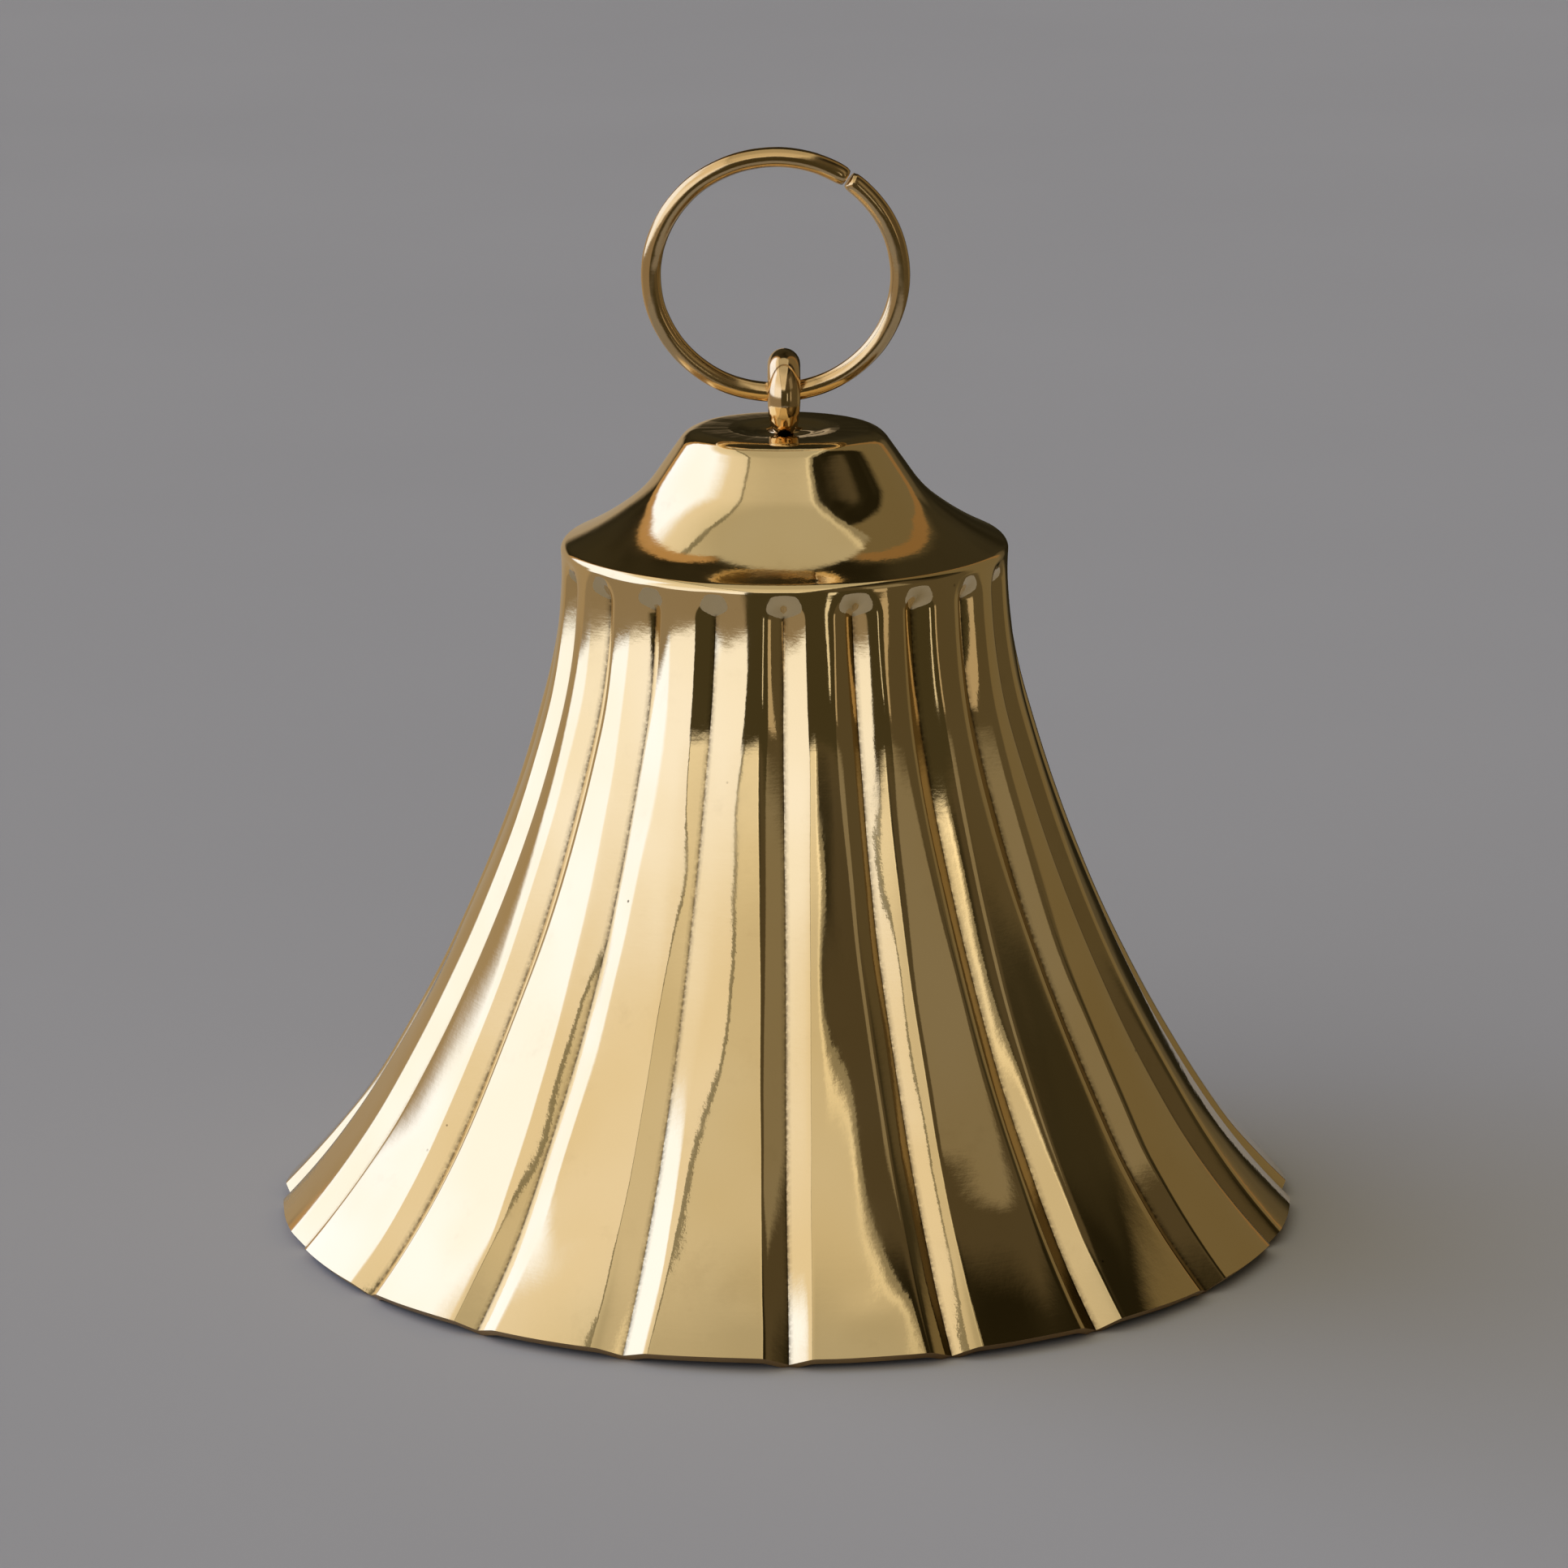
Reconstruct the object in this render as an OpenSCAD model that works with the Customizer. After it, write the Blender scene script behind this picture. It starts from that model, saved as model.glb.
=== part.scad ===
// Hand-made brass Christmas bell: a thin fluted shell that stands on its mouth,
// with a hanging ring through a crown eye and a clapper hung inside.
// Origin: centre of the mouth, on the surface that the bell stands on; +Z up.

/* [Bell body] */
// Outer radius of the mouth, between the flutes
mouth_r = 50; // [49:0.1:52]
// Angle of the mouth flare, from the vertical
mouth_angle = 40.5; // [39:0.5:42]
// Outer radius of the body at the shoulder
shoulder_r = 21.6; // [21:0.1:22]
// Height of the body between the mouth's edge and the shoulder
body_h = 65.4; // [64:0.1:66]
// Thickness of the shell, measured square to its surface
wall = 1.0; // [0.8:0.1:1.1]
// Height of the small flat that each flute's foot stands on
foot_trim = 0.25; // [0.2:0.05:0.35]

/* [Flutes] */
// Number of V-shaped flutes
flute_count = 20; // [16:2:20]
// Depth of a flute, measured square to the surface
flute_depth = 1.3; // [1.1:0.1:1.4]
// Width of a flute at the surface
flute_width = 4.8; // [4.4:0.1:5]
// Drop from the shoulder to the upper end of a flute's crease
crease_drop = 2.9; // [2.8:0.1:5]

/* [Crown] */
// Radius of the rounded edge of the shoulder
shoulder_edge_r = 1.5; // [1.3:0.1:1.8]
// Slope of the brim inside the shoulder, from the horizontal
brim_angle = 34; // [32:1:35]
// Slope of the crown's cone, from the vertical
cone_angle = 35; // [33:1:36]
// Radius of the hollow curve between the brim and the cone
crown_fillet_r = 12; // [10:0.5:13]
// Height of the flat top of the crown above the shoulder
crown_h = 11.7; // [11.4:0.1:12]
// Radius of the flat top of the crown
crown_top_r = 9.3; // [9:0.1:9.5]
// Thickness of the crown under its flat top
crown_wall = 1.5; // [1.3:0.1:1.8]
// Radius of the shallow dish pressed around the crown's hole
dish_r = 4.6; // [4.4:0.1:5]
// Radius of that dish's flat floor
dish_floor_r = 3.2; // [3:0.1:3.6]
// Depth of that dish
dish_depth = 0.3; // [0.2:0.05:0.4]

/* [Crown eye] */
// Diameter of the round stock that the eye is bent from
eye_stock_d = 3.2; // [3:0.1:3.4]
// Diameter of the hole through the eye
eye_hole_d = 2.04; // [2.02:0.01:2.08]
// Diameter of the neck that joins the shank to the eye
eye_neck_d = 2; // [1.6:0.1:2.2]
// Height of the eye's hole above the flat top of the crown
eye_rise = 3.5; // [3.3:0.1:3.7]
// Diameter of the eye's shank
shank_d = 3; // [2.8:0.1:3.2]

/* [Hanging ring] */
// Diameter of the ring's wire
ring_wire_d = 1.9; // [1.8:0.05:1.95]
// Inner diameter of the ring
ring_inner_d = 21.9; // [20:0.1:24]
// Width of the cut between the ends of the wire
ring_cut = 0.35; // [0.2:0.05:0.6]
// Place of the cut, clockwise from the top of the ring as seen from the front
ring_cut_angle = 39; // [30:1:50]
// Slant of the cut across the wire
ring_cut_slant = 35; // [20:5:45]
// Lean of the ring's top, towards the front
ring_lean = 10.5; // [0:0.5:15]
// Sideways lean of the ring, towards -X
ring_side_lean = 3.7; // [0:0.1:5]

/* [Inner fastening] */
// Outer diameter of the washer under the crown
washer_d = 9; // [8:0.5:10]
// Thickness of that washer
washer_h = 0.8; // [0.6:0.1:1]
// Width across flats of the lock nut
nut_af = 5.5; // [5.3:0.1:6]
// Height of the lock nut
nut_h = 2.4; // [2:0.1:3]
// Diameter of the clapper hanger's boss
boss_d = 6; // [5.6:0.2:6.4]
// Height of that boss
boss_h = 4; // [3.5:0.5:4.5]
// Thickness of metal under the boss's threaded hole
boss_floor = 1; // [0.8:0.1:1.2]

/* [Clapper] */
// Diameter of the wire of the hanger's loop
loop_wire_d = 1.6; // [1.4:0.1:1.7]
// Radius of that loop, at the middle of its wire
loop_r = 2.4; // [2.3:0.1:2.6]
// Diameter of the link's wire
link_wire_d = 1.4; // [1.2:0.1:1.4]
// Radius of the link, at the middle of its wire
link_r = 3.1; // [3:0.1:3.4]
// Diameter of the clapper rod
rod_d = 1.6; // [1.4:0.1:1.7]
// Radius of the eye at the rod's top, at the middle of its wire
rod_eye_r = 2.3; // [2.2:0.1:2.5]
// Diameter of the clapper ball
ball_d = 16; // [14:0.5:16.5]
// Height of the middle of the ball
ball_z = 13; // [13:0.1:14]
// Width across flats of the nuts above and below the ball
ball_nut_af = 4; // [3.6:0.1:4.2]
// Height of those nuts
ball_nut_h = 1.6; // [1.4:0.1:1.8]

/* [Hidden] */
$fn = 96;
// Facets of the long curves
long_fn = 720;
// Gap on radius of the shank where it passes through a plain hole
shank_gap = 0.05;
// Gap on radius of a piece that is screwed or pressed onto a rod
thread_gap = 0.02;
// Gap between two hung loops, where the real ones touch
hang_gap = 0.1;
// How far a flute's tool stands out of the surface outside and inside the bell
flute_reach = 0.4;
rib_reach = 0.2;
// How much shallower a flute's round end is than the flute
end_lift = 0.05;
// Angle by which the flutes and the cavity run on past the mouth
run_out = 2;
// Gap at the bottom of the boss's threaded hole, and bare thread past a nut
thread_end = 0.3;
// Length by which a drill passes a face
drill_past = 1;
// Steepness of the chamfers on the nuts
nut_chamfer_angle = 30;
// Size of a tool that covers the whole bell
cover = 300;

flute_half_angle = atan(flute_width / 2 / flute_depth);
// Distance from the surface down to the crease's back, through the metal
crease_back = flute_depth + wall / sin(flute_half_angle);
// Height of the mouth's outer edge: the creases' backs stand on the ground
edge_z = crease_back * sin(mouth_angle) - foot_trim;

// The body's outline is one arc from the mouth's edge to the shoulder, hollow
// outwards. Its angles are measured down from the horizontal at its centre.
shoulder_angle = 2 * atan((mouth_r - shoulder_r) / body_h) - mouth_angle;
flare_r = body_h / (sin(mouth_angle) - sin(shoulder_angle));
flare_x = mouth_r + flare_r * cos(mouth_angle);
flare_z = edge_z + flare_r * sin(mouth_angle);
shoulder_z = edge_z + body_h;
crown_z = shoulder_z + crown_h;
crease_top_angle = asin((flare_z - shoulder_z + crease_drop) / flare_r);

eye_r = (eye_hole_d + eye_stock_d) / 2;
eye_z = crown_z + eye_rise;
eye_foot_z = crown_z - dish_depth;
ring_r = (ring_inner_d + ring_wire_d) / 2;

washer_top_z = crown_z - crown_wall;
nut_top_z = washer_top_z - washer_h;
boss_top_z = nut_top_z - nut_h;
boss_low_z = boss_top_z - boss_h;
shank_low_z = boss_low_z + boss_floor + thread_end;

// The link swings about the middle of the loop's lowest wire, and the rod
// about the middle of the link's lowest wire.
loop_z = boss_low_z + loop_wire_d / 4 - loop_r;
link_axis_z = loop_z - loop_r;
link_z = link_axis_z + (loop_wire_d + link_wire_d) / 2 + hang_gap - link_r;
rod_axis_z = link_z - link_r;
rod_eye_z = rod_axis_z + (link_wire_d + rod_d) / 2 + hang_gap - rod_eye_r;

// Half height of the ball between the flat seats of its two nuts
ball_seat = sqrt(pow(ball_d / 2, 2) - pow(ball_nut_af / 2 / cos(30), 2));
rod_low_z = ball_z - ball_seat - ball_nut_h - thread_end;

// A point on the flare, moved out of the metal by t
function flare_point(angle, t) = [
    flare_x - (flare_r - t) * cos(angle),
    flare_z - (flare_r - t) * sin(angle)
];

// Crossing of a line through p that falls outwards at angle a from the
// horizontal with a line through q that falls outwards at angle b from the vertical
function crossing(p, a, q, b) =
    let (
        k = tan(a) * tan(b),
        z = (p[1] - (q[0] - p[0]) * tan(a) - q[1] * k) / (1 - k)
    )
    [q[0] + (q[1] - z) * tan(b), z];

// Half outline of the plain bell, moved out of the metal by t, between the
// flare's given lowest angle and a flat top
module half_outline(t, low_angle, top_z) {
    edge_r = shoulder_edge_r + t;
    edge_x = shoulder_r - shoulder_edge_r;
    fillet_r = crown_fillet_r - t;
    fillet_reach = fillet_r * tan((90 - brim_angle - cone_angle) / 2);
    back = flare_point(low_angle, t - 2 * crease_back);
    brim = [edge_x + edge_r * sin(brim_angle), shoulder_z + edge_r * cos(brim_angle)];
    top = [crown_top_r + t / cos(cone_angle) + (crown_z - top_z) * tan(cone_angle), top_z];
    meet = crossing(brim, brim_angle, top, cone_angle);
    brim_end = meet + fillet_reach * [cos(brim_angle), -sin(brim_angle)];
    cone_end = meet + fillet_reach * [-sin(cone_angle), cos(cone_angle)];
    difference() {
        polygon([
            [0, back[1]], back, flare_point(low_angle, t), flare_point(shoulder_angle, t),
            brim, brim_end, cone_end, top, [0, top_z]
        ]);
        translate([flare_x, flare_z]) circle(r = flare_r - t, $fn = long_fn);
        translate(brim_end + fillet_r * [sin(brim_angle), cos(brim_angle)]) circle(r = fillet_r);
    }
    translate([edge_x, shoulder_z]) circle(r = edge_r);
}

// The plain bell, turned so that its seam lies between two flutes
module plain_bell(t, low_angle, top_z) {
    rotate([0, 0, 180 / flute_count])
        rotate_extrude() half_outline(t, low_angle, top_z);
}

// A flute's tool on the +X side: a V section swept along the flare, with a
// cone for its round upper end. It stands out of the surface by reach.
module flute(depth, reach) {
    width = tan(flute_half_angle);
    end_h = depth + reach - end_lift;
    tip = flare_point(crease_top_angle, end_lift - depth);
    translate([flare_x, 0, flare_z])
        rotate([90, 180, 0])
            rotate([0, 0, crease_top_angle])
                rotate_extrude(angle = mouth_angle + run_out - crease_top_angle, $fn = long_fn)
                    polygon([
                        [flare_r - reach, -(depth + reach) * width],
                        [flare_r + depth, 0],
                        [flare_r - reach, (depth + reach) * width]
                    ]);
    translate([tip[0], 0, tip[1]])
        rotate([0, 90 - crease_top_angle, 0])
            rotate([0, 0, 45])
                cylinder(h = end_h, r1 = 0, r2 = end_h * width);
}

module all_flutes(depth, reach) {
    for (i = [0 : flute_count - 1])
        rotate([0, 0, 360 * i / flute_count]) flute(depth, reach);
}

// A ring of round wire, lying flat
module wire_ring(r, wire_d) {
    rotate_extrude() translate([r, 0]) circle(d = wire_d);
}

// A hexagon nut with chamfered corners, hanging down from height z
module hex_nut(z, af, h, hole_d) {
    corner_r = af / 2 / cos(30);
    chamfer = (corner_r - af / 2) * tan(nut_chamfer_angle);
    translate([0, 0, z - h])
        difference() {
            intersection() {
                cylinder(r = corner_r, h = h, $fn = 6);
                rotate_extrude()
                    polygon([
                        [0, 0], [af / 2, 0], [corner_r, chamfer],
                        [corner_r, h - chamfer], [af / 2, h], [0, h]
                    ]);
            }
            translate([0, 0, -drill_past]) cylinder(d = hole_d, h = h + 2 * drill_past);
        }
}

module bell_shell() {
    color("goldenrod")
        intersection() {
            difference() {
                plain_bell(0, mouth_angle, crown_z);
                all_flutes(flute_depth, flute_reach);
                difference() {
                    plain_bell(-wall, mouth_angle + run_out, crown_z - crown_wall);
                    all_flutes(crease_back, rib_reach - wall);
                }
                translate([0, 0, shoulder_z])
                    cylinder(d = shank_d + 2 * shank_gap, h = 2 * crown_h);
                translate([0, 0, eye_foot_z])
                    cylinder(r1 = dish_floor_r, r2 = 2 * dish_r - dish_floor_r, h = 2 * dish_depth);
            }
            translate([-cover / 2, -cover / 2, 0]) cube(cover);
        }
}

module crown_eye() {
    color("gold") {
        difference() {
            translate([0, 0, eye_z]) rotate([0, 90, 0]) wire_ring(eye_r, eye_stock_d);
            translate([-cover / 2, -cover / 2, eye_foot_z - cover]) cube(cover);
        }
        translate([0, 0, shank_low_z]) cylinder(d = shank_d, h = eye_foot_z - shank_low_z);
        translate([0, 0, shank_low_z])
            cylinder(d = eye_neck_d, h = eye_z - eye_r - shank_low_z);
    }
}

module hanging_ring() {
    color("darkgoldenrod")
        translate([0, 0, eye_z])
            rotate([ring_lean, 0, 0])
                rotate([0, -ring_side_lean, 0])
                    translate([0, 0, ring_r])
                        difference() {
                            rotate([90, 0, 0]) wire_ring(ring_r, ring_wire_d);
                            rotate([0, ring_cut_angle, 0])
                                translate([0, 0, ring_r])
                                    rotate([0, ring_cut_slant, 0])
                                        cube([ring_cut, 2 * ring_wire_d, 4 * ring_wire_d], center = true);
                        }
}

module inner_washer() {
    color("khaki")
        translate([0, 0, washer_top_z - washer_h])
            difference() {
                cylinder(d = washer_d, h = washer_h);
                translate([0, 0, -drill_past])
                    cylinder(d = shank_d + 2 * shank_gap, h = washer_h + 2 * drill_past);
            }
}

module lock_nut() {
    color("peru") hex_nut(nut_top_z, nut_af, nut_h, shank_d + 2 * thread_gap);
}

module clapper_hanger() {
    color("burlywood")
        difference() {
            union() {
                translate([0, 0, boss_low_z]) cylinder(d = boss_d, h = boss_h);
                translate([0, 0, loop_z]) rotate([90, 0, 0]) wire_ring(loop_r, loop_wire_d);
            }
            translate([0, 0, boss_low_z + boss_floor])
                cylinder(d = shank_d + 2 * thread_gap, h = boss_h);
        }
}

module clapper_link() {
    color("tan") translate([0, 0, link_z]) rotate([0, 90, 0]) wire_ring(link_r, link_wire_d);
}

module clapper_rod() {
    eye_low_z = rod_eye_z - rod_eye_r;
    color("sienna") {
        translate([0, 0, rod_eye_z]) rotate([90, 0, 0]) wire_ring(rod_eye_r, rod_d);
        translate([0, 0, rod_low_z]) cylinder(d = rod_d, h = eye_low_z - rod_low_z);
    }
}

module clapper_ball() {
    color("orange")
        translate([0, 0, ball_z])
            difference() {
                sphere(d = ball_d);
                cylinder(d = rod_d + 2 * thread_gap, h = 2 * ball_d, center = true);
                for (side = [0, 1])
                    mirror([0, 0, side])
                        translate([-ball_d / 2, -ball_d / 2, ball_seat]) cube(ball_d);
            }
}

module clapper_nuts() {
    for (top_z = [ball_z - ball_seat, ball_z + ball_seat + ball_nut_h])
        color("peru") hex_nut(top_z, ball_nut_af, ball_nut_h, rod_d + 2 * thread_gap);
}

bell_shell();
crown_eye();
hanging_ring();
inner_washer();
lock_nut();
clapper_hanger();
clapper_link();
clapper_rod();
clapper_ball();
clapper_nuts();
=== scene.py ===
"""Looks of the fluted brass bell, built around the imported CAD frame.

Shapes are written in millimetres and turned into metres by MM when a mesh is made.
The bell's axis is the Z axis, the mouth stands on Z = 0, and -Y is the front.
"""

import math

import bpy
import numpy as np
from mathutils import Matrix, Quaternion, Vector, noise


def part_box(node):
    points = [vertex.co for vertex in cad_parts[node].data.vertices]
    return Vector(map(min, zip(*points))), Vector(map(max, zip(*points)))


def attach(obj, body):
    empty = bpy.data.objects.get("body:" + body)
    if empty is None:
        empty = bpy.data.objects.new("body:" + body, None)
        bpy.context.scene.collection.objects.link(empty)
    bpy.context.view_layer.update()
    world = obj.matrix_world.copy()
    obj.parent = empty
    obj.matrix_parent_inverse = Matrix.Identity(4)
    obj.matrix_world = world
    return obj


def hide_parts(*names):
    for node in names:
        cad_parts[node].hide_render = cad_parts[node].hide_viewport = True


MM = 0.001
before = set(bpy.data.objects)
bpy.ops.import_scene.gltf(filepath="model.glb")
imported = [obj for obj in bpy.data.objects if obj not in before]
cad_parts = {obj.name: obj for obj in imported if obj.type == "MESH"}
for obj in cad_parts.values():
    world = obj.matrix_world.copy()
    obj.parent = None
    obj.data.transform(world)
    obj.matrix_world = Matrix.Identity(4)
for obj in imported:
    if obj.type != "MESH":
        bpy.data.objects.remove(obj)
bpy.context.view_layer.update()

# ---------------------------------------------------------------- driving sizes

shell_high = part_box("bell_shell")[1]
eye_low, eye_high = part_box("crown_eye")
washer_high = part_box("inner_washer")[1]

MOUTH_R = shell_high.x / MM
CROWN_Z = shell_high.z / MM
EYE_TOP_Z = eye_high.z / MM
SHANK_LOW_Z = eye_low.z / MM
UNDER_CROWN_Z = washer_high.z / MM

# Outline of the shell
WALL = 1.0
EDGE_Z = 1.33  # height where the outer skin starts at the mouth
OUTER_LIP_Z = 0.25  # least height of the outer skin's first row
FLOOR_GAP = 0.02  # least height of anything on the shell
BODY_ARCS = ((70.0, 13.1), (148.0, 16.0), (55.0, 15.5))  # radius, turn in degrees, from the mouth up
BODY_ROWS = (13, 26, 42)  # rows of mesh in each of those arcs
MOUTH_ANGLE = sum(turn for _, turn in BODY_ARCS)
SHOULDER_LAND = 0.3  # straight stretch between the body and the shoulder's edge
SHOULDER_EDGE_R = 0.9
INNER_EDGE_R = 0.3
BRIM_ANGLE = 26.0
CROWN_ARCS = ((30.0, 12.0), (12.0, 17.0))  # radius, turn in degrees, from the brim to the cone
CONE_ANGLE = 35.0
FLAT_TOP_R = 8.0
TOP_EDGE_R = 2.5
DISH_R = 4.6
DISH_FLOOR_R = 3.2
DISH_DEPTH = 0.3
HOLE_R = 1.55

# Flutes
FLUTES = 20
PITCH = 2 * math.pi / FLUTES
FLUTE_DEPTH = 1.3
FLUTE_HALF_WIDTH = 2.3
TOP_NARROWING = 0.83  # width of a flute at its top end, as a share of its usual width
NARROWING_LENGTH = 14.0  # how far down from the top the narrowing reaches
CREASE_TOP_DROP = 2.4  # from the body's top down to the top of a crease
MOUTH_SOFTNESS = 0.07  # roundness of a flute's shoulders at the mouth and at its top
TOP_SOFTNESS = 0.17
SOFTNESS_LENGTH = 45.0
SHALLOW_FLUTES = (-27.0, 20.0, 0.27)  # angle from the front, spread in degrees, share of depth lost
WORN_PLACE = (-18.0, 6.0, 44.0, 24.0, 0.45)  # angle and spread, distance up and spread, share lost
CREASE_LINE = 0.22  # how far from a crease its dark line reaches
LATERAL = (0, 0.1, 0.22, 0.36, 0.5, 0.64, 0.77, 0.88, 0.97, 1.06, 1.16, 1.28)  # in half widths
PANEL = (0.3, 0.62, 1.0)  # shares of the way from a flute to the middle of its panel

# Where the flutes and the hand-made waves fade out towards the crown
FLUTE_FADE_END = 0.25
FLUTE_FADE_LENGTH = 0.7
WAVE_FADE_LENGTH = 14.0
CROWN_WAVE = 0.06

# Eye and ring
EYE_STOCK_R = 1.6
EYE_LOOP_R = 2.62
EYE_Z = EYE_TOP_Z - EYE_LOOP_R - EYE_STOCK_R
SHANK_R = 1.5
THREAD_DEPTH = 0.09
THREAD_STEP = 0.125  # a quarter of the thread's pitch
RING_WIRE_R = 0.95
RING_R = 11.9
RING_LEAN = math.radians(10.5)
RING_SIDE_LEAN = math.radians(3.7)
RING_CUT = math.radians(39)
RING_CUT_WIDTH = 0.4


# ---------------------------------------------------------------- small helpers

def smoothstep(x):
    x = np.clip(x, 0.0, 1.0)
    return x * x * (3 - 2 * x)


def mesh_object(name, verts, faces, smooth=True):
    mesh = bpy.data.meshes.new(name)
    mesh.from_pydata([tuple(v) for v in np.asarray(verts) * MM], [], faces)
    mesh.validate()
    mesh.polygons.foreach_set("use_smooth", [smooth] * len(mesh.polygons))
    mesh.update()
    obj = bpy.data.objects.new(name, mesh)
    bpy.context.scene.collection.objects.link(obj)
    return obj


def grid_faces(rows, cols, start=0, flip=False):
    """Quads of a grid of vertices numbered row by row, closed round its columns."""
    faces = []
    for i in range(rows - 1):
        for j in range(cols):
            k = (j + 1) % cols
            quad = (start + i * cols + j, start + i * cols + k,
                    start + (i + 1) * cols + k, start + (i + 1) * cols + j)
            faces.append(quad[::-1] if flip else quad)
    return faces


def join(objects):
    with bpy.context.temp_override(
        active_object=objects[0], selected_editable_objects=objects, object=objects[0]
    ):
        bpy.ops.object.join()


# ---------------------------------------------------------------- bell outline

def direction(heading):
    """Unit vector of a heading in degrees, in the plane of the outline."""
    return np.array([math.cos(math.radians(heading)), math.sin(math.radians(heading))])


def walk(start, heading, steps):
    """Points and headings along tangent lines and arcs. A step is (radius, turn, points) or
    (None, length, points); a positive turn bends towards the axis. Headings are in degrees."""
    points = [np.array(start, float)]
    headings = [heading]
    for radius, amount, count in steps:
        origin = points[-1]
        heading = headings[-1]
        for i in range(1, count + 1):
            share = i / count
            if radius is None:
                turned = heading
                point = origin + amount * share * direction(heading)
            else:
                turned = heading + amount * share
                side = math.copysign(90, amount)
                point = origin + radius * (direction(heading + side) - direction(turned + side))
            points.append(point)
            headings.append(turned)
    return np.array(points), np.array(headings)


def dish_outline():
    """Points and headings of the shallow dish around the eye's foot, from its edge to the hole."""
    slope = DISH_R - DISH_FLOOR_R
    stations = ((0.85, 0.10, 190), (0.55, 0.45, 194), (0.2, 0.9, 188), (-0.1, 1.0, 180))
    points = [(DISH_FLOOR_R + share * slope, CROWN_Z - drop * DISH_DEPTH) for share, drop, _ in stations]
    headings = [heading for _, _, heading in stations]
    return points + [(HOLE_R, CROWN_Z - DISH_DEPTH)], headings + [180]


def bell_outline(inset, fine):
    """Half outline from the mouth to the crown's hole, moved into the metal by inset, with its
    headings. The last value is how many of its rows belong to the fluted body."""
    heading = 90 + MOUTH_ANGLE
    start = np.array([MOUTH_R, EDGE_Z]) + inset * direction(heading + 90)
    land_rows = 2
    body_rows = [int(fine * n) for n in BODY_ROWS]
    body = [(radius + inset, -turn, n) for (radius, turn), n in zip(BODY_ARCS, body_rows)]
    edge_r = INNER_EDGE_R if inset else SHOULDER_EDGE_R
    edge = [(None, SHOULDER_LAND, land_rows), (edge_r, 90 - BRIM_ANGLE, 3 + int(fine * 4))]
    sweep = [(radius + inset, -turn, int(fine * 8)) for radius, turn in CROWN_ARCS]
    corner = [(TOP_EDGE_R - inset, 90 - CONE_ANGLE, int(fine * 10))]

    top = np.array([FLAT_TOP_R, UNDER_CROWN_Z if inset else CROWN_Z])
    brim_start = walk(start, heading, body + edge)[0][-1]
    bends = walk((0, 0), 180 - BRIM_ANGLE, sweep)[0][-1] + walk((0, 0), 90 + CONE_ANGLE, corner)[0][-1]
    slopes = np.column_stack([direction(180 - BRIM_ANGLE), direction(90 + CONE_ANGLE)])
    brim_length, cone_length = np.linalg.solve(slopes, top - brim_start - bends)
    brim = [(None, brim_length, int(fine * 4))]
    cone = [(None, cone_length, int(fine * 4))]
    flat = [(None, FLAT_TOP_R - (HOLE_R if inset else DISH_R), 3)]

    points, headings = walk(start, heading, body + edge + brim + sweep + cone + corner + flat)
    if not inset:
        dish_points, dish_headings = dish_outline()
        points = np.vstack([points, dish_points])
        headings = np.append(headings, dish_headings)
    return points, headings, 1 + sum(body_rows) + land_rows


def arc_lengths(points):
    return np.concatenate([[0], np.cumsum(np.linalg.norm(np.diff(points, axis=0), axis=1))])


# ---------------------------------------------------------------- hand-made form

def columns_at(radius):
    """Angles of the mesh columns in one flute pitch, counted from its crease."""
    reach = min(LATERAL[-1] * FLUTE_HALF_WIDTH / max(radius, FLAT_TOP_R), 0.9 * PITCH / 2)
    lateral = [q / LATERAL[-1] * reach for q in LATERAL]
    panel = [reach + share * (PITCH / 2 - reach) for share in PANEL]
    half = lateral + panel
    return [-away for away in half[1:-1]][::-1] + half


def crease_wander(flute, up):
    """How far a crease strays sideways, since each one was pressed by hand."""
    slow = noise.noise(Vector((flute * 3.7, up / 26, 1.3)))
    quick = noise.noise(Vector((flute * 5.1, up / 7, 8.9)))
    return 0.3 * slow + 0.06 * quick


def hand_wave(angle, up):
    """Shallow unevenness of the beaten wall."""
    c = math.cos(angle)
    s = math.sin(angle)
    broad = noise.noise(Vector((2.1 * c, 2.1 * s, up / 30 + 4)))
    middle = noise.noise(Vector((6.5 * c, 6.5 * s, up / 17 + 9)))
    small = noise.noise(Vector((15 * c, 15 * s, up / 9 + 17)))
    return 0.26 * broad + 0.19 * middle + 0.04 * small


DENTS = (  # angle from the front in degrees, distance from the mouth, radius, depth
    (9.6, 4.0, 1.9, 0.19), (-4.6, 3.4, 1.3, 0.09), (-27, 11, 1.9, 0.13), (-24, 5, 3.5, 0.08),
    (21, 19, 3.0, 0.09), (29, 12, 3.4, 0.12), (39, 7, 3.0, 0.12), (-40, 9, 3.2, 0.09),
    (58, 15, 3.0, 0.10), (-63, 6, 2.8, 0.11), (95, 8, 3.0, 0.12), (131, 12, 3.6, 0.12),
    (166, 5, 2.6, 0.10), (-97, 13, 3.3, 0.12), (-128, 6, 2.9, 0.10), (-158, 16, 3.4, 0.12),
)


def dent_depth(angle, up, radius):
    """Depth of the small dents near the mouth."""
    total = 0.0
    for degrees, dent_up, size, depth in DENTS:
        turn = math.remainder(angle + math.pi / 2 - math.radians(degrees), 2 * math.pi)
        distance = math.hypot(turn * radius, up - dent_up)
        if distance < 2.5 * size:
            total += depth * math.exp(-((distance / size) ** 2))
    return total


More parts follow.
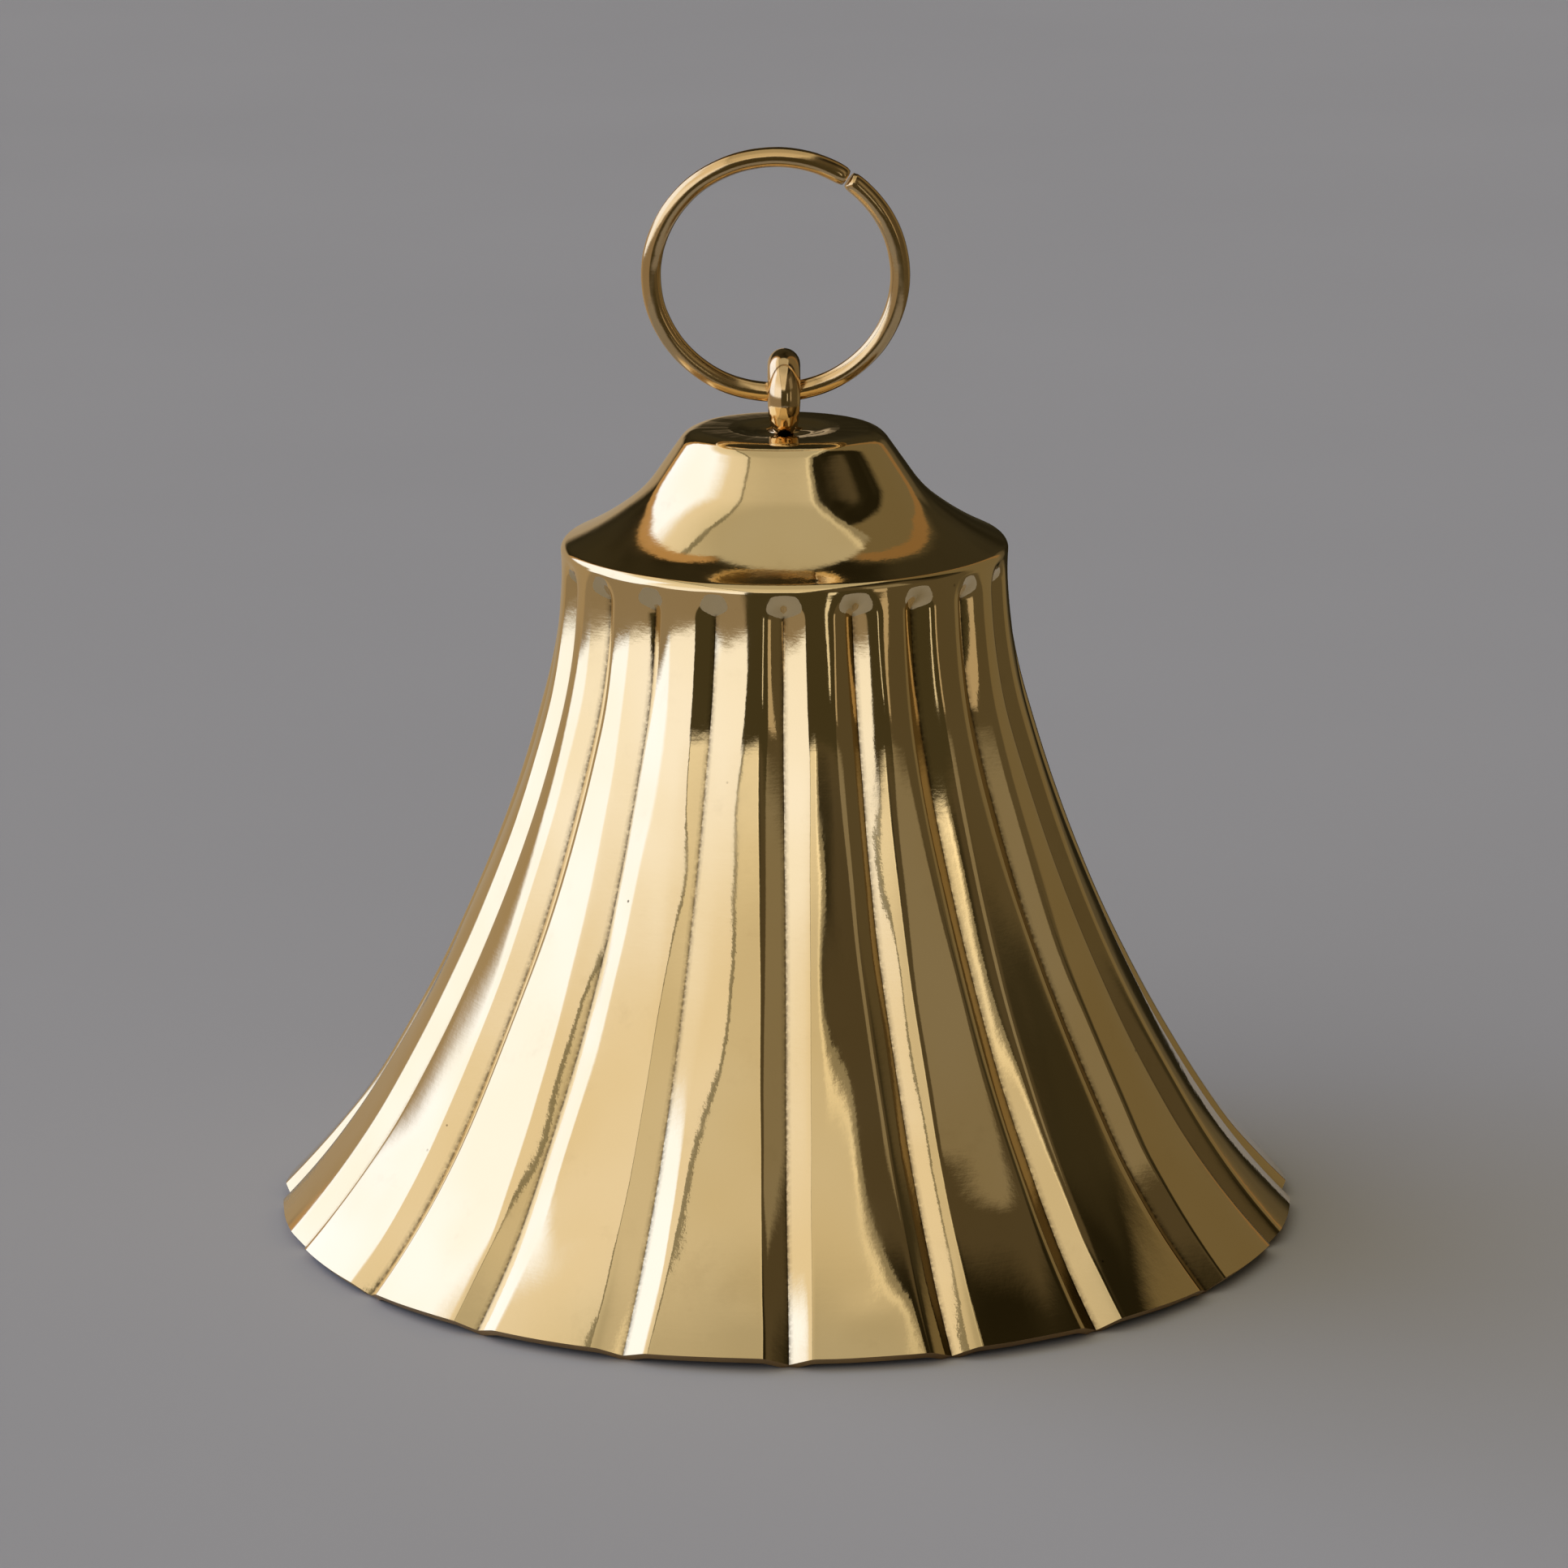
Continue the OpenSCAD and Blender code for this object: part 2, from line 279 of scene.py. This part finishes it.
def pressed_share(flute, up):
    """How deep a flute was pressed at a distance from the mouth, as a share of the usual depth."""
    turn = math.degrees(math.remainder(PITCH * flute + math.pi / 2, 2 * math.pi))
    unevenness = 0.16 * noise.noise(Vector((flute * 2.3, 7.7, 0.4)))
    centre, spread, loss = SHALLOW_FLUTES
    shallow = math.exp(-(((turn - centre) / spread) ** 2))
    worn_at, worn_spread, worn_up, worn_length, worn_loss = WORN_PLACE
    worn = math.exp(-(((turn - worn_at) / worn_spread) ** 2) - ((up - worn_up) / worn_length) ** 2)
    return 1 + unevenness - loss * shallow - worn_loss * worn


def flute_depth(offset, below_top):
    """Depth of a flute at a sideways offset from its crease, with a round upper end."""
    past_end = max(0.0, -below_top)
    narrowing = TOP_NARROWING + (1 - TOP_NARROWING) * smoothstep(below_top / NARROWING_LENGTH)
    q = math.hypot(offset, past_end) / (FLUTE_HALF_WIDTH * narrowing)
    towards_mouth = min(1.0, max(0.0, below_top) / SOFTNESS_LENGTH)
    softness = TOP_SOFTNESS + (MOUTH_SOFTNESS - TOP_SOFTNESS) * towards_mouth
    return FLUTE_DEPTH * softness * math.log1p(math.exp((1 - q) / softness))


# ---------------------------------------------------------------- shell

def skin_row(r, z, heading, up, body_length):
    """One row of a skin, and how close each of its vertices is to a crease."""
    normal_r = math.sin(math.radians(heading))
    normal_z = -math.cos(math.radians(heading))
    below_top = body_length - up - CREASE_TOP_DROP
    on_body = smoothstep((body_length + FLUTE_FADE_END - up) / FLUTE_FADE_LENGTH)
    wavy = (CROWN_WAVE * smoothstep((r - HOLE_R - 1) / 8)
            + (1 - CROWN_WAVE) * smoothstep((body_length - up) / WAVE_FADE_LENGTH))
    row = []
    closeness = []
    for flute in range(FLUTES):
        depth = pressed_share(flute, up)
        stray = crease_wander(flute, up) * on_body / max(r, 1)
        for away in columns_at(r):
            keep = 1 - min(1.0, abs(away) / (PITCH / 2))
            angle = flute * PITCH + away + stray * keep
            push = hand_wave(angle, up) * wavy
            if on_body > 0:
                push -= depth * flute_depth(away * r, below_top) * on_body
                push -= dent_depth(angle, up, r)
            pushed_r = r + normal_r * push
            row.append((pushed_r * math.cos(angle), pushed_r * math.sin(angle), z + normal_z * push))
            closeness.append(math.exp(-((away * r / CREASE_LINE) ** 2)) * on_body * (below_top > -0.3))
    return row, closeness


def bell_skin(inset, fine):
    """Vertices of one skin of the shell as an array of rows x columns x 3, the body rows'
    count, and how close each vertex is to a crease."""
    points, headings, body_rows = bell_outline(inset, fine)
    lengths = arc_lengths(points)
    body_length = lengths[body_rows - 1]
    rows = [skin_row(r, z, heading, up, body_length)
            for (r, z), heading, up in zip(points, headings, lengths)]
    skin = np.array([row for row, _ in rows])
    crease = np.array([closeness for _, closeness in rows])
    return skin, body_rows, crease


def bell_shell():
    """The thin shell: two skins joined at the mouth's cut edge and at the crown's hole.
    Its faces use material 0 outside, 1 inside and 2 on the cut edges."""
    outer, body_rows, outer_crease = bell_skin(0.0, 1.0)
    inner, _, inner_crease = bell_skin(WALL, 0.25)
    outer[0, :, 2] = np.maximum(outer[0, :, 2], OUTER_LIP_Z)
    for skin in (outer, inner):
        skin[..., 2] = np.maximum(skin[..., 2], FLOOR_GAP)

    cols = outer.shape[1]
    start = outer.shape[0] * cols
    last_outer = start - cols
    last_inner = start + (inner.shape[0] - 1) * cols
    outside = grid_faces(outer.shape[0], cols)
    inside = grid_faces(inner.shape[0], cols, start=start, flip=True)
    cut_edges = []
    for j in range(cols):
        k = (j + 1) % cols
        cut_edges.append((k, j, start + j, start + k))
        cut_edges.append((last_outer + j, last_outer + k, last_inner + k, last_inner + j))

    verts = np.vstack([outer.reshape(-1, 3), inner.reshape(-1, 3)])
    obj = mesh_object("bell_shell_fluted", verts, outside + inside + cut_edges)
    mesh = obj.data
    finishes = [0] * len(outside) + [1] * len(inside) + [2] * len(cut_edges)
    mesh.polygons.foreach_set("material_index", finishes)
    closeness = mesh.attributes.new("crease", "FLOAT", "POINT")
    closeness.data.foreach_set("value", np.concatenate([outer_crease.ravel(), inner_crease.ravel()]))
    mark_sharp(mesh, body_rows, cols, start)
    return obj


def mark_sharp(mesh, body_rows, cols, start):
    """Keeps the creases and the cut edges of the mouth crisp. The outer skin's vertices come
    first, row by row, and the inner skin's begin at start."""
    per_flute = cols // FLUTES
    crease_col = per_flute // 2 - 1
    crease_rows = body_rows - 6
    ends = np.zeros(len(mesh.edges) * 2, int)
    mesh.edges.foreach_get("vertices", ends)
    ends = ends.reshape(-1, 2)
    row = ends // cols
    col = ends % cols
    on_crease = (col[:, 0] == col[:, 1]) & (col[:, 0] % per_flute == crease_col)
    in_outer = (ends < start).all(axis=1)
    outer_lip = (ends < cols).all(axis=1)
    inner_lip = ((ends >= start) & (ends < start + cols)).all(axis=1)
    values = (in_outer & on_crease & (row.max(axis=1) < crease_rows)) | outer_lip | inner_lip
    sharp = mesh.attributes.new("sharp_edge", "BOOLEAN", "EDGE")
    sharp.data.foreach_set("value", values)


# ---------------------------------------------------------------- ring and eye

def tube(name, path, radii, closed, sides, up=(1, 0, 0)):
    """A round tube along a path of points, with radii given as (along up, across)."""
    path = np.array(path, float)
    n = len(path)
    verts = []
    for i, (along_up, across) in enumerate(radii):
        before = path[i - 1] if closed or i else path[0]
        after = path[(i + 1) % n] if closed or i < n - 1 else path[-1]
        tangent = (after - before) / np.linalg.norm(after - before)
        side = np.array(up, float)
        side = side - side.dot(tangent) * tangent
        side /= np.linalg.norm(side)
        other = np.cross(tangent, side)
        for k in range(sides):
            a = 2 * math.pi * k / sides
            verts.append(path[i] + side * along_up * math.cos(a) + other * across * math.sin(a))
    faces = grid_faces(n + 1 if closed else n, sides)
    if closed:
        faces = [tuple(v % (n * sides) for v in face) for face in faces]
    else:
        faces.append(tuple(range(sides))[::-1])
        faces.append(tuple((n - 1) * sides + k for k in range(sides)))
    return mesh_object(name, verts, faces)


def turn_x(points, angle):
    c = math.cos(angle)
    s = math.sin(angle)
    return [(x, y * c - z * s, y * s + z * c) for x, y, z in points]


def turn_y(points, angle):
    c = math.cos(angle)
    s = math.sin(angle)
    return [(x * c + z * s, y, -x * s + z * c) for x, y, z in points]


def hanging_ring():
    """The ring bent from wire, not quite round, with its two cut ends almost touching."""
    half_cut = RING_CUT_WIDTH / 2 / RING_R
    count = 220
    path = []
    radii = []
    for i in range(count):
        share = i / (count - 1)
        a = RING_CUT + half_cut + share * (2 * math.pi - 2 * half_cut)
        from_end = min(share, 1 - share) * 2 * math.pi * RING_R
        r = RING_R + 0.05 * noise.noise(Vector((3 * math.cos(a), 3 * math.sin(a), 2)))
        wire = RING_WIRE_R - 0.16 * math.exp(-from_end / 0.25) + 0.012 * noise.noise(Vector((a * 9, 0, 5)))
        path.append((r * math.sin(a), 0, r * math.cos(a) + RING_R))
        radii.append((wire, wire))
    path = turn_y(path, -RING_SIDE_LEAN)
    path = turn_x(path, RING_LEAN)
    path = [(x, y, z + EYE_Z) for x, y, z in path]
    return tube("hanging_ring_wire", path, radii, closed=False, sides=36, up=(0, 1, 0))


def eye_loop():
    """The eye, bent from round stock until its ends meet, and a little thinner at its foot."""
    count = 96
    path = []
    radii = []
    for i in range(count):
        a = 2 * math.pi * i / count
        path.append((0, EYE_LOOP_R * math.sin(a), EYE_Z + EYE_LOOP_R * math.cos(a)))
        low = smoothstep((-math.cos(a) - 0.1) / 0.8)
        radii.append((EYE_STOCK_R * (0.985 - 0.07 * low), EYE_STOCK_R))
    loop = tube("crown_eye_bent", path, radii, closed=True, sides=40)
    foot = (CROWN_Z - DISH_DEPTH) * MM
    for v in loop.data.vertices:
        v.co.z = max(v.co.z, foot)
    return loop


def eye_shank():
    """The threaded shank, from its lower end up to the dish."""
    height = CROWN_Z - DISH_DEPTH - SHANK_LOW_Z
    rows = int(height / THREAD_STEP)
    path = [(0, 0, SHANK_LOW_Z + height * i / rows) for i in range(rows + 1)]
    radii = [(SHANK_R - THREAD_DEPTH * (i % 4 in (1, 2)),) * 2 for i in range(rows + 1)]
    return tube("shank", path, radii, closed=False, sides=40)


def crown_eye():
    loop = eye_loop()
    join([loop, eye_shank()])
    return loop


# ---------------------------------------------------------------- materials

class Tree:
    """A short way to add and link shader nodes."""

    def __init__(self, tree):
        self.tree = tree
        tree.nodes.clear()

    def fill(self, socket, value):
        """Links a socket to another one, or gives it a value."""
        if isinstance(value, bpy.types.NodeSocket):
            self.tree.links.new(value, socket)
        else:
            socket.default_value = value

    def add(self, kind, inputs=None, **settings):
        node = self.tree.nodes.new(kind)
        for key, value in settings.items():
            setattr(node, key, value)
        for key, value in (inputs or {}).items():
            self.fill(node.inputs[key], value)
        return node

    def math(self, operation, a, b=0.0, c=0.0):
        return self.add("ShaderNodeMath", {0: a, 1: b, 2: c}, operation=operation).outputs[0]

    def ramp(self, value, low, high, to_low=0.0, to_high=1.0):
        """value mapped from low..high to to_low..to_high with soft ends."""
        return self.add(
            "ShaderNodeMapRange",
            {"Value": value, "From Min": low, "From Max": high, "To Min": to_low, "To Max": to_high},
            interpolation_type="SMOOTHSTEP",
        ).outputs["Result"]

    def noise(self, vector, scale, detail=3.0, rough=0.55):
        return self.add(
            "ShaderNodeTexNoise",
            {"Vector": vector, "Scale": scale, "Detail": detail, "Roughness": rough},
        ).outputs["Fac"]

    def mix(self, share, a, b):
        node = self.add("ShaderNodeMix", data_type="RGBA")
        self.fill(node.inputs["Factor"], share)
        self.fill(node.inputs[6], a)
        self.fill(node.inputs[7], b)
        return node.outputs[2]

    def scaled(self, colour, factor):
        """A colour times a number."""
        node = self.add("ShaderNodeVectorMath", {0: colour, "Scale": factor}, operation="SCALE")
        return node.outputs["Vector"]

    def bump(self, height, strength, distance, normal=None):
        inputs = {"Strength": strength, "Distance": distance, "Height": height}
        if normal:
            inputs["Normal"] = normal
        return self.add("ShaderNodeBump", inputs).outputs["Normal"]


def rgb(r, g, b):
    return (r, g, b, 1.0)


def new_material(name):
    """A material, the tree of its nodes, and its object coordinates."""
    material = bpy.data.materials.new(name)
    material.use_nodes = True
    t = Tree(material.node_tree)
    return material, t, t.add("ShaderNodeTexCoord").outputs["Object"]


# Dark colour of the specks and of the line along the creases
DARK_MARK = rgb(0.07, 0.045, 0.02)


def dark_crease_line(t, place, colour):
    """Ragged dark line along the creases: the metal's colour is made darker there."""
    close = t.add("ShaderNodeAttribute", attribute_name="crease").outputs["Fac"]
    ragged = t.noise(place, 2600, 3)
    # darkens the colour along the creases, made ragged by noise
    crease_darkening = t.math("MULTIPLY", close, t.ramp(ragged, 0.3, 0.6, 0.35, 1))
    return t.mix(t.math("MULTIPLY", crease_darkening, 0.8), colour, DARK_MARK)


def specks(t, place, colour):
    """A few small dark specks, in patches."""
    spots = t.add("ShaderNodeTexVoronoi", {"Vector": place, "Scale": 240.0}).outputs["Distance"]
    chosen = t.ramp(t.noise(place, 95, 1), 0.56, 0.62)
    speck = t.math("MULTIPLY", t.ramp(spots, 0.022, 0.05, 1, 0), chosen)
    return t.mix(t.math("MULTIPLY", speck, 0.85), colour, DARK_MARK)


def brass(name, light, deep, tarnish, rough, smudge, lines, clouding=0.35, creases=False):
    """Metal with a slow colour drift, smudges, polishing lines and a few dark specks."""
    material, t, place = new_material(name)
    drift = t.noise(place, 55, 2)
    colour = t.mix(t.ramp(drift, 0.35, 0.65), light, deep)
    cloud = t.noise(place, 190, 5, 0.65)
    colour = t.mix(t.ramp(cloud, 0.56, 0.8, 0, clouding), colour, tarnish)
    if creases:
        colour = dark_crease_line(t, place, colour)
    colour = specks(t, place, colour)

    smears = t.noise(place, 90, 6, 0.6)
    roughness = t.ramp(smears, 0.42, 0.75, rough, rough + smudge)
    brushing = {"Vector": place, "Scale": (70.0, 70.0, 5200.0)}
    strokes = t.noise(t.add("ShaderNodeMapping", brushing).outputs["Vector"], 1.0, 2, 0.5)
    roughness = t.math("MULTIPLY_ADD", strokes, lines * 0.25, roughness)
    bump = t.bump(strokes, lines, 0.00002)
    bump = t.bump(t.noise(place, 900, 3, 0.6), 0.12, 0.00005, bump)
    shader = t.add(
        "ShaderNodeBsdfPrincipled",
        {"Base Color": colour, "Metallic": 1.0, "Roughness": roughness, "Normal": bump},
    )
    t.add("ShaderNodeOutputMaterial", {"Surface": shader.outputs[0]})
    return material


def floor_material():
    material, t, place = new_material("pale_floor")
    colour = t.mix(t.noise(place, 6, 3), rgb(0.53, 0.53, 0.54), rgb(0.58, 0.58, 0.59))
    shader = t.add(
        "ShaderNodeBsdfPrincipled",
        {"Base Color": colour, "Roughness": 0.8, "Specular IOR Level": 0.2},
    )
    t.add("ShaderNodeOutputMaterial", {"Surface": shader.outputs[0]})
    return material


# ---------------------------------------------------------------- light

# A region is (azimuth from and to, elevation from and to, soft edges of both, colour), in degrees.
# Azimuth 0 is the camera's side and 90 is +X. Later regions lie over earlier ones.
ROOM = (
    (24, 80, 10, 46, 10, 8, (0.085, 0.068, 0.040)),
    (-155, -18, -90, -5, 6, 3, (0.30, 0.245, 0.18)),
    (-176, -150, -40, 2, 8, 4, (0.34, 0.28, 0.20)),
    (-18, 150, -90, 14, 6, 6, (0.10, 0.08, 0.045)),
    (114, 141, -14, 66, 9, 6, (0.18, 0.143, 0.078)),
    (46, 66, 14, 36, 4, 4, (0.25, 0.215, 0.15)),
    (141, 145, 10, 60, 2, 8, (0.27, 0.16, 0.065)),
    (-146, -120, -6, 60, 2, 8, (0.50, 0.31, 0.14)),
)
IN_FRONT_OF_WINDOW = (
    (-19, 44, -90, 13, 2, 4, (0.06, 0.05, 0.025)),
    (46, 53, -12, 6, 1, 2, (0.50, 0.415, 0.30)),
    (22.5, 26, -12, 4, 1, 2, (0.85, 0.80, 0.70)),
    (-180, -121, -90, 5, 5, 7, (0.40, 0.32, 0.22)),
)
ROOM_DARK = rgb(0.016, 0.013, 0.006)
ROOM_DIM = rgb(0.042, 0.035, 0.019)

# The window's glass on both sides of its bar: the elevation where each colour begins
GLASS_RIGHT = ((-90, (0.97, 0.91, 0.79)), (22, (0.70, 0.64, 0.52)), (58, (0.50, 0.46, 0.36)))
GLASS_LEFT = ((-90, (1.12, 1.16, 1.34)), (22, (0.92, 0.86, 0.78)), (56, (0.74, 0.70, 0.60)))
GLASS_FAR_LEFT = (-150, -78, -7, 40, 9, 9, (1.22, 1.42, 2.05))
GLASS_BLEND = 10  # soft edge between two of those colours, in degrees
WINDOW_SIDE = 0.40  # the window's right and back edges, as sideways over upward
WINDOW_BACK = 0.38
WINDOW_FRAME = 0.03  # width of the frame beside the window's right edge
FRAME_TINT = (0.30, 0.27, 0.20)
WINDOW_RIM = 0.35  # how much brighter the glass is along that edge
BAR = ((-22, 25), (-90, 63))  # azimuth and elevation of two places on the dark bar
BAR_HALF_WIDTH = 0.9
BAR_TINT = rgb(0.16, 0.15, 0.10)


def toward(azimuth, elevation):
    """Unit vector of a direction given in degrees."""
    a = math.radians(azimuth)
    e = math.radians(elevation)
    return Vector((math.sin(a) * math.cos(e), -math.cos(a) * math.cos(e), math.sin(e)))


class Sky(Tree):
    """The world's nodes, with the direction's parts, azimuth and elevation."""

    def __init__(self, tree):
        super().__init__(tree)
        self.place = self.add("ShaderNodeTexCoord").outputs["Generated"]
        self.x, self.y, self.z = self.add("ShaderNodeSeparateXYZ", {0: self.place}).outputs
        turn = self.math("ARCTAN2", self.x, self.math("MULTIPLY", self.y, -1.0))
        self.azimuth = self.math("MULTIPLY", turn, 180 / math.pi)
        self.elevation = self.math("MULTIPLY", self.math("ARCSINE", self.z), 180 / math.pi)

    def region(self, colour, az0, az1, el0, el1, az_soft, el_soft, tint):
        """colour with a soft-edged region of tint laid over it."""
        left = self.ramp(self.azimuth, az0 - az_soft, az0)
        right = self.ramp(self.azimuth, az1, az1 + az_soft, 1, 0)
        low = self.ramp(self.elevation, el0 - el_soft, el0)
        high = self.ramp(self.elevation, el1, el1 + el_soft, 1, 0)
        share = self.math("MULTIPLY", self.math("MULTIPLY", left, right), self.math("MULTIPLY", low, high))
        return self.mix(share, colour, rgb(*tint))

    def bands(self, bands):
        """Colours that follow each other with rising elevation."""
        colour = rgb(*bands[0][1])
        for start, tint in bands[1:]:
            share = self.ramp(self.elevation, start - GLASS_BLEND, start + GLASS_BLEND)
            colour = self.mix(share, colour, rgb(*tint))
        return colour

    def room(self):
        """The dim room around the window."""
        around = self.noise(self.place, 1.9, 2)
        colour = self.mix(self.ramp(around, 0.35, 0.65), ROOM_DARK, ROOM_DIM)
        for region in ROOM:
            colour = self.region(colour, *region)
        return colour

    def window(self, colour):
        """colour with the large window overhead and at the left laid over it."""
        side_edge = self.math("SUBTRACT", self.math("MULTIPLY", self.z, WINDOW_SIDE), self.x)
        back_edge = self.math("SUBTRACT", self.math("MULTIPLY", self.z, WINDOW_BACK), self.y)
        above_sill = self.ramp(self.elevation, -7, -4)
        overhead = self.math("MULTIPLY", self.ramp(back_edge, -0.02, 0.03), above_sill)
        at_left = self.math(
            "MULTIPLY", self.ramp(self.azimuth, -143, -140), self.ramp(self.azimuth, -20, -10, 1, 0)
        )
        upright = self.math("MULTIPLY", at_left, above_sill)
        opening = self.math(
            "MULTIPLY", self.math("MAXIMUM", overhead, upright), self.ramp(side_edge, -0.03, 0.02)
        )

        normal = toward(*BAR[0]).cross(toward(*BAR[1])).normalized()
        beside = self.add("ShaderNodeVectorMath", {0: self.place, 1: normal}, operation="DOT_PRODUCT")
        beside = beside.outputs["Value"]
        half = math.sin(math.radians(BAR_HALF_WIDTH))
        glass = self.mix(self.ramp(beside, -half, half), self.bands(GLASS_RIGHT), self.bands(GLASS_LEFT))
        glass = self.region(glass, *GLASS_FAR_LEFT)
        rim = self.math("MULTIPLY_ADD", self.ramp(side_edge, 0.02, 0.06, 1, 0), WINDOW_RIM, 1.0)
        glass = self.scaled(glass, rim)
        bar = self.ramp(self.math("ABSOLUTE", beside), 0.7 * half, 1.4 * half, 0.8, 0)
        glass = self.mix(bar, glass, BAR_TINT)

        frame_edge = self.ramp(side_edge, -0.04 - WINDOW_FRAME, -0.02 - WINDOW_FRAME)
        colour = self.mix(self.math("MULTIPLY", frame_edge, overhead), colour, rgb(*FRAME_TINT))
        return self.mix(opening, colour, glass)


def studio_light():
    """One large soft window and the dim room around it, as regions of the world."""
    world = bpy.data.worlds.new("studio")
    bpy.context.scene.world = world
    world.use_nodes = True
    sky = Sky(world.node_tree)
    colour = sky.window(sky.room())
    for region in IN_FRONT_OF_WINDOW:
        colour = sky.region(colour, *region)
    background = sky.add("ShaderNodeBackground", {"Color": colour, "Strength": 1.0})
    sky.add("ShaderNodeOutputWorld", {"Surface": background.outputs[0]})


# ---------------------------------------------------------------- floor and camera

def floor():
    """A pale floor in two parts: the metal reflects only the part near the bell."""
    near, far, sides = 150, 4000, 96
    turns = [2 * math.pi * k / sides for k in range(sides)]
    rings = [[(r * math.cos(a), r * math.sin(a), 0) for a in turns] for r in (near, far)]
    inner = mesh_object("floor_near", rings[0], [tuple(range(sides))], smooth=False)
    outer = mesh_object("floor_far", rings[0] + rings[1], grid_faces(2, sides, flip=True), smooth=False)
    outer.visible_glossy = False
    pale = floor_material()
    for obj in (inner, outer):
        obj.data.materials.append(pale)


def camera():
    data = bpy.data.cameras.new("camera")
    data.sensor_width = 36
    data.lens = 139.75
    obj = bpy.data.objects.new("camera", data)
    obj.location = (-0.00013, -0.5772, 0.1902)
    pitch = math.radians(-14.31)
    forward = Vector((0, math.cos(pitch), math.sin(pitch)))
    roll = Quaternion((0, 0, 1), math.radians(-0.2))
    obj.rotation_mode = "QUATERNION"
    obj.rotation_quaternion = forward.to_track_quat("-Z", "Y") @ roll
    bpy.context.scene.collection.objects.link(obj)
    bpy.context.scene.camera = obj


# ---------------------------------------------------------------- assembly

polished = brass(
    "polished_brass", rgb(0.87, 0.69, 0.40), rgb(0.84, 0.65, 0.35), rgb(0.42, 0.29, 0.13),
    rough=0.03, smudge=0.07, lines=0.06, clouding=0.12, creases=True,
)
dull = brass(
    "unpolished_brass", rgb(0.62, 0.45, 0.22), rgb(0.52, 0.36, 0.17), rgb(0.25, 0.16, 0.08),
    rough=0.32, smudge=0.25, lines=0.6,
)
# Rough raw metal of the mouth's cut edges; its dark colour is partly the raw edge and partly painted shade
# of the contact shadow under the mouth
cut_edge_and_contact_shade = brass(
    "cut_edge_brass_and_painted_shade", rgb(0.55, 0.38, 0.18), rgb(0.42, 0.27, 0.12), rgb(0.20, 0.12, 0.05),
    rough=0.35, smudge=0.25, lines=0.8,
)
ring_brass = brass(
    "ring_brass", rgb(0.81, 0.60, 0.32), rgb(0.75, 0.52, 0.25), rgb(0.38, 0.23, 0.09),
    rough=0.13, smudge=0.12, lines=0.1,
)
eye_brass = brass(
    "eye_brass", rgb(0.86, 0.66, 0.38), rgb(0.80, 0.57, 0.30), rgb(0.40, 0.25, 0.11),
    rough=0.10, smudge=0.15, lines=0.1,
)
fastener_brass = brass(
    "fastener_brass", rgb(0.80, 0.60, 0.30), rgb(0.70, 0.50, 0.24), rgb(0.32, 0.21, 0.10),
    rough=0.20, smudge=0.20, lines=0.4,
)
clapper_brass = brass(
    "clapper_brass", rgb(0.86, 0.66, 0.34), rgb(0.78, 0.56, 0.27), rgb(0.36, 0.23, 0.10),
    rough=0.14, smudge=0.20, lines=0.3,
)

shell = bell_shell()
for finish in (polished, dull, cut_edge_and_contact_shade):
    shell.data.materials.append(finish)
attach(shell, "bell")
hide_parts("bell_shell")

ring = hanging_ring()
ring.data.materials.append(ring_brass)
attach(ring, "ring")
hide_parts("hanging_ring")

eye = crown_eye()
eye.data.materials.append(eye_brass)
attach(eye, "bell")
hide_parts("crown_eye")

KEPT_NODES = (
    (fastener_brass, ("inner_washer", "lock_nut", "clapper_hanger")),
    (clapper_brass, ("clapper_link", "clapper_rod", "clapper_ball", "clapper_nuts")),
)
for metal, node_names in KEPT_NODES:
    for node_name in node_names:
        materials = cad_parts[node_name].data.materials
        materials.clear()
        materials.append(metal)

bpy.context.scene.view_settings.view_transform = "Standard"
studio_light()
floor()
camera()
